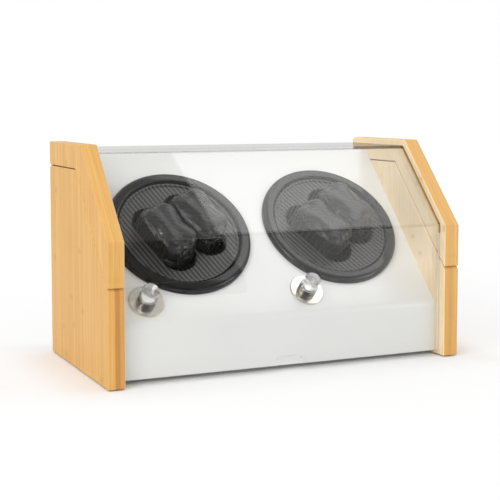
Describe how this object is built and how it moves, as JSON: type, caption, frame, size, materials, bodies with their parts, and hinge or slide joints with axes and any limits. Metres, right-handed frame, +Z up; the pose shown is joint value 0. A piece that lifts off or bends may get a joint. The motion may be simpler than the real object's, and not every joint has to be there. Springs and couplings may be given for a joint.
{
  "type": "watch winder box",
  "caption": "Bamboo watch winder box with a hinged clear lid over a sloped white panel, motor-driven turntables with lift-out cushions and rotary mode knobs.",
  "frame": {"origin": "bottom centre of the whole box, hinge barrels included", "axes": "+X to the user's right, +Y to the back, +Z up"},
  "size_m": [0.34, 0.1788, 0.2],
  "materials": {
    "bamboo": "pale golden bamboo, clear satin lacquer",
    "white_panel": "white, gloss",
    "white_board": "white laminated board, matte",
    "raw_wood": "bare wood",
    "clear_acrylic": "clear, polished",
    "pad_felt": "black soft pad",
    "hinge_steel": "nickel plated, satin",
    "screw_steel": "zinc plated",
    "board_green": "green solder mask",
    "nylon": "natural nylon",
    "inlet_plastic": "black moulded",
    "gloss_black": "black, high gloss",
    "carbon_dish": "black with a diagonal woven look, gloss",
    "leatherette": "black, soft, fine grain",
    "chrome": "polished",
    "dark_ring": "black",
    "clear_knob": "clear, polished",
    "frame_plastic": "black moulded",
    "brass": "turned",
    "motor_steel": "bright zinc",
    "gear_plastic": "white acetal",
    "wire_sleeve": "black sleeve"
  },
  "bodies": {
    "case": {"left_side_panel": "bamboo", "right_side_panel": "bamboo", "bottom_board": "white_board", "case_dowels": "raw_wood", "back_cover": "white_board", "case_battens": "raw_wood", "case_screws": "screw_steel", "foot_pads": "pad_felt", "front_fascia": "white_panel", "case_hinge_leaves": "hinge_steel", "hinge_pins": "hinge_steel", "left_table_bezel": "gloss_black", "left_drive_frame": "frame_plastic", "left_spindle_bush": "brass", "left_drive_motor": "motor_steel", "right_table_bezel": "gloss_black", "right_drive_frame": "frame_plastic", "right_spindle_bush": "brass", "right_drive_motor": "motor_steel", "drive_screws": "screw_steel", "left_knob_plate": "chrome", "left_mode_switch": "frame_plastic", "right_knob_plate": "chrome", "right_mode_switch": "frame_plastic", "switch_nuts": "screw_steel", "control_board": "board_green", "board_standoffs": "nylon", "power_socket": "inlet_plastic", "wiring": "wire_sleeve"},
    "lid": {"left_lid_arm": "bamboo", "right_lid_arm": "bamboo", "lid_cover": "clear_acrylic", "lid_hinge_leaves": "hinge_steel", "lid_screws": "screw_steel"},
    "left_table": {"left_turntable": "carbon_dish", "left_spindle": "motor_steel", "left_table_gear": "gear_plastic", "left_spindle_clip": "motor_steel"},
    "left_pinion": {"left_motor_pinion": "gear_plastic", "left_motor_shaft": "motor_steel"},
    "left_lower_cushion": {"left_lower_cushion": "leatherette"},
    "left_upper_cushion": {"left_upper_cushion": "leatherette"},
    "left_knob": {"left_knob_cap": "clear_knob", "left_knob_collar": "chrome", "left_knob_rings": "dark_ring", "left_knob_shaft": "motor_steel"},
    "right_table": {"right_turntable": "carbon_dish", "right_spindle": "motor_steel", "right_table_gear": "gear_plastic", "right_spindle_clip": "motor_steel"},
    "right_pinion": {"right_motor_pinion": "gear_plastic", "right_motor_shaft": "motor_steel"},
    "right_lower_cushion": {"right_lower_cushion": "leatherette"},
    "right_upper_cushion": {"right_upper_cushion": "leatherette"},
    "right_knob": {"right_knob_cap": "clear_knob", "right_knob_collar": "chrome", "right_knob_rings": "dark_ring", "right_knob_shaft": "motor_steel"}
  },
  "joints": [
    {"name": "lid_hinge", "type": "hinge", "parent": "case", "child": "lid", "pos_m": [0, 0.087, 0.178], "axis": [-1, 0, 0], "range_deg": [0, 110]},
    {"name": "left_table_spin", "type": "hinge", "parent": "case", "child": "left_table", "pos_m": [-0.0767, -0.00838, 0.11834], "axis": [0, -0.7257, 0.688], "continuous": true},
    {"name": "left_pinion_spin", "type": "hinge", "parent": "case", "child": "left_pinion", "pos_m": [-0.0767, -0.02902, 0.09657], "axis": [0, -0.7257, 0.688], "continuous": true},
    {"name": "left_lower_cushion_lift", "type": "slide", "parent": "left_table", "child": "left_lower_cushion", "axis": [0, -0.7257, 0.688], "range_m": [0, 0.018]},
    {"name": "left_upper_cushion_lift", "type": "slide", "parent": "left_table", "child": "left_upper_cushion", "axis": [0, -0.7257, 0.688], "range_m": [0, 0.018]},
    {"name": "left_knob_turn", "type": "hinge", "parent": "case", "child": "left_knob", "pos_m": [-0.1255, -0.05751, 0.06653], "axis": [0, -0.7257, 0.688], "range_deg": [0, 120]},
    {"name": "right_table_spin", "type": "hinge", "parent": "case", "child": "right_table", "pos_m": [0.0767, -0.00838, 0.11834], "axis": [0, -0.7257, 0.688], "continuous": true},
    {"name": "right_pinion_spin", "type": "hinge", "parent": "case", "child": "right_pinion", "pos_m": [0.0767, -0.02902, 0.09657], "axis": [0, -0.7257, 0.688], "continuous": true},
    {"name": "right_lower_cushion_lift", "type": "slide", "parent": "right_table", "child": "right_lower_cushion", "axis": [0, -0.7257, 0.688], "range_m": [0, 0.018]},
    {"name": "right_upper_cushion_lift", "type": "slide", "parent": "right_table", "child": "right_upper_cushion", "axis": [0, -0.7257, 0.688], "range_m": [0, 0.018]},
    {"name": "right_knob_turn", "type": "hinge", "parent": "case", "child": "right_knob", "pos_m": [0.0279, -0.05751, 0.06653], "axis": [0, -0.7257, 0.688], "range_deg": [0, 120]}
  ],
  "couplings": [
    {"joint": "left_pinion_spin", "follows": "left_table_spin", "ratio": -4},
    {"joint": "right_pinion_spin", "follows": "right_table_spin", "ratio": -4}
  ]
}
